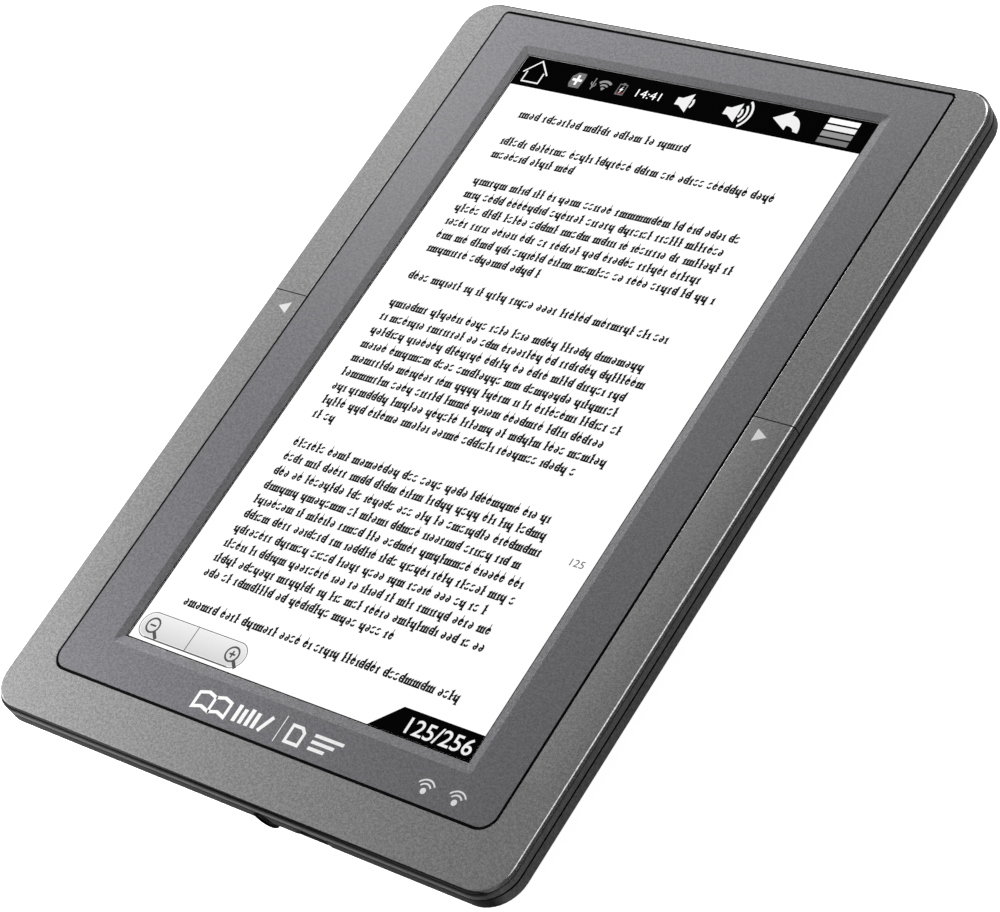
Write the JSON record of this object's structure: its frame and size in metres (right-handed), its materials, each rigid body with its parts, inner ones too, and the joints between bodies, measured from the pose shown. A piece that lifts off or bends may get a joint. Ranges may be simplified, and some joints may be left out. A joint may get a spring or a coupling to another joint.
{
  "type": "e-reader",
  "caption": "Slim handheld reading tablet with a framed touch screen, a U-shaped trim whose arms are page keys, and ports along the lower edge.",
  "frame": {"origin": "under the middle of the case, on the surface that its back rests on", "axes": "+X across the screen to its right, +Y up the page towards the top edge, +Z out of the screen"},
  "size_m": [0.1362, 0.1866, 0.0115],
  "materials": {
    "trim": "satin metallic grey paint",
    "bezel": "satin graphite paint with a fine grain",
    "shell": "satin dark grey moulding",
    "housing": "matt black moulding",
    "touch_glass": "clear gloss panel over the lit page",
    "lcd_glass": "polished glass cell",
    "film": "white optical film",
    "steel": "pressed plate",
    "circuit_board": "green solder mask",
    "chip": "matt black package",
    "foil": "foil pouch",
    "foam": "soft black foam",
    "ribbon": "amber film",
    "screw": "black nickel",
    "contact": "gold plated"
  },
  "bodies": {
    "case": {"front_bezel": "bezel", "upper_trim": "trim", "lower_trim": "trim", "front_housing": "housing", "back_cover": "shell", "touch_panel": "touch_glass", "touch_panel_tape": "foam", "dust_gasket": "foam", "lcd_frame": "steel", "lcd_tray": "steel", "reflector_sheet": "film", "light_guide": "film", "led_strip": "film", "diffuser_films": "film", "lcd_cell": "lcd_glass", "chassis_plate": "steel", "mainboard": "circuit_board", "processor": "chip", "memory_chip": "chip", "flash_chip": "chip", "power_chip": "chip", "wifi_module": "steel", "shield_can": "steel", "power_coils": "chip", "battery_tapes": "foam", "battery_cell": "foil", "battery_board": "circuit_board", "battery_ribbon": "ribbon", "display_cable": "ribbon", "port_ribbon": "ribbon", "touch_cable": "ribbon", "port_board": "circuit_board", "headphone_jack": "housing", "usb_socket": "steel", "usb_tongue": "housing", "card_socket": "steel", "speaker_foam": "foam", "speaker": "housing", "speaker_contacts": "contact", "wifi_aerial": "ribbon", "power_switch": "housing", "left_key_board": "circuit_board", "right_key_board": "circuit_board", "left_page_switch": "steel", "right_page_switch": "steel", "left_key_cable": "ribbon", "right_key_cable": "ribbon", "case_screws": "screw", "board_screws": "screw"},
    "left_page_key": {"left_page_key": "trim"},
    "right_page_key": {"right_page_key": "trim"},
    "left_plunger": {"left_switch_plunger": "housing"},
    "right_plunger": {"right_switch_plunger": "housing"},
    "power_button": {"power_button": "trim", "power_plunger": "contact"}
  },
  "joints": [
    {"name": "left_key_press", "type": "hinge", "parent": "case", "child": "left_page_key", "pos_m": [-0.0634, -0.07, 0.011], "axis": [-1, 0, 0], "range_deg": [0, 0.24], "stiffness_Nm_per_rad": 30},
    {"name": "right_key_press", "type": "hinge", "parent": "case", "child": "right_page_key", "pos_m": [0.0634, -0.07, 0.011], "axis": [-1, 0, 0], "range_deg": [0, 0.24], "stiffness_Nm_per_rad": 30},
    {"name": "left_plunger_slide", "type": "slide", "parent": "case", "child": "left_plunger", "axis": [0, 0, -1], "range_m": [0, 0.00034]},
    {"name": "right_plunger_slide", "type": "slide", "parent": "case", "child": "right_plunger", "axis": [0, 0, -1], "range_m": [0, 0.00034]},
    {"name": "power_button_press", "type": "slide", "parent": "case", "child": "power_button", "axis": [0, -1, 0], "range_m": [0, 0.0003], "stiffness_N_per_m": 6000}
  ],
  "couplings": [
    {"joint": "left_plunger_slide", "follows": "left_key_press", "m_per_rad": 0.0787},
    {"joint": "right_plunger_slide", "follows": "right_key_press", "m_per_rad": 0.0787}
  ]
}
